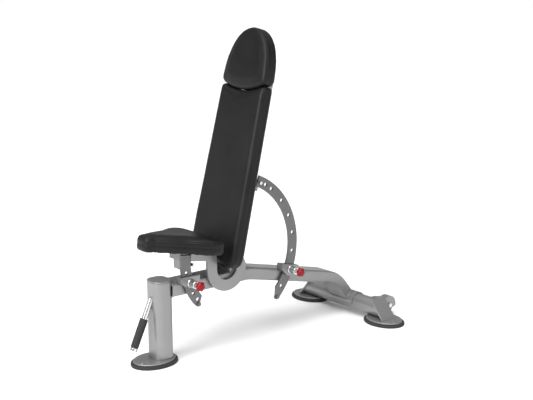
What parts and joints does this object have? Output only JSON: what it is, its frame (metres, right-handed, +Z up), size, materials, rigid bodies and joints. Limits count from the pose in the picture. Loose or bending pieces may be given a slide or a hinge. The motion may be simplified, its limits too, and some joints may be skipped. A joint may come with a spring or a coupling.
{
  "type": "adjustable weight bench",
  "caption": "Adjustable weight bench with a tilting backrest and seat, ladder plates locked by pull pins, a lifting handle and transport wheels.",
  "frame": {"origin": "centre of the footprint box on the floor plane", "axes": "+Z up, +Y from the front column towards the transport wheels, +X towards the side with the ladders and pull pins"},
  "size_m": [0.648, 1.214, 1.2253],
  "materials": {
    "silver_paint": "satin metallic powder coat",
    "ladder_paint": "satin metallic powder coat, a shade darker",
    "chrome": "bright plating",
    "zinc": "zinc-plated fasteners",
    "rubber": "matt black moulded rubber",
    "grip": "matt ribbed grip",
    "red_plastic": "gloss red moulding",
    "vinyl": "black vinyl upholstery, fine grain, over foam",
    "plywood": "plywood board with a black-stained edge",
    "nylon": "black nylon"
  },
  "bodies": {
    "frame": {"front_foot_rubber": "rubber", "front_foot_plate": "silver_paint", "rear_near_foot_rubber": "rubber", "rear_near_foot_plate": "silver_paint", "rear_far_foot_rubber": "rubber", "rear_far_foot_plate": "silver_paint", "front_column": "silver_paint", "column_cap": "silver_paint", "handle_tube": "chrome", "handle_grip": "grip", "handle_end_cap": "chrome", "main_beam": "silver_paint", "cross_tube": "silver_paint", "beam_saddle": "silver_paint", "cross_end_plate_near": "silver_paint", "cross_end_plate_far": "silver_paint", "wheel_fender_near": "silver_paint", "wheel_fender_far": "silver_paint", "wheel_bolt_near": "zinc", "wheel_bolt_far": "zinc", "pivot_ear_near": "silver_paint", "pivot_ear_far": "silver_paint", "pivot_bolt": "zinc", "pivot_nut": "zinc", "front_lock_bracket": "silver_paint", "rear_lock_bracket": "silver_paint", "front_pin_barrel": "chrome", "rear_pin_barrel": "chrome"},
    "backrest": {"back_tube": "silver_paint", "back_tube_cap": "nylon", "back_hub": "silver_paint", "back_bush_near": "nylon", "back_bush_far": "nylon", "back_ladder": "ladder_paint", "back_ladder_bolt": "zinc", "back_ladder_lug": "silver_paint", "pad_bracket_low": "silver_paint", "pad_bracket_high": "silver_paint", "head_bracket": "silver_paint", "back_board": "plywood", "back_pad": "vinyl", "head_board": "plywood", "head_pad": "vinyl"},
    "seat": {"seat_tube": "silver_paint", "seat_bar_front": "silver_paint", "seat_bar_rear": "silver_paint", "seat_hook": "silver_paint", "seat_ladder": "ladder_paint", "seat_drop_box": "silver_paint", "seat_stop_pin": "chrome", "seat_board": "plywood", "seat_pad": "vinyl"},
    "front_pin": {"front_plunger": "chrome", "front_plunger_spring": "zinc", "front_pin_knob": "red_plastic"},
    "rear_pin": {"rear_plunger": "chrome", "rear_plunger_spring": "zinc", "rear_pin_knob": "red_plastic"},
    "wheel_near": {"wheel_near": "rubber"},
    "wheel_far": {"wheel_far": "rubber"}
  },
  "joints": [
    {"name": "back_tilt", "type": "hinge", "parent": "frame", "child": "backrest", "pos_m": [0, -0.16193, 0.378], "axis": [1, 0, 0], "range_deg": [-82, 15]},
    {"name": "seat_tilt", "type": "hinge", "parent": "frame", "child": "seat", "pos_m": [0, -0.16193, 0.378], "axis": [-1, 0, 0], "range_deg": [-9, 20]},
    {"name": "front_pin_pull", "type": "slide", "parent": "frame", "child": "front_pin", "axis": [1, 0, 0], "range_m": [0, 0.012], "stiffness_N_per_m": 600, "springref_m": -0.004},
    {"name": "rear_pin_pull", "type": "slide", "parent": "frame", "child": "rear_pin", "axis": [1, 0, 0], "range_m": [0, 0.012], "stiffness_N_per_m": 600, "springref_m": -0.004},
    {"name": "wheel_near_spin", "type": "hinge", "parent": "frame", "child": "wheel_near", "pos_m": [0.172, 0.56707, 0.05], "axis": [1, 0, 0], "continuous": true},
    {"name": "wheel_far_spin", "type": "hinge", "parent": "frame", "child": "wheel_far", "pos_m": [-0.172, 0.56707, 0.05], "axis": [1, 0, 0], "continuous": true}
  ]
}
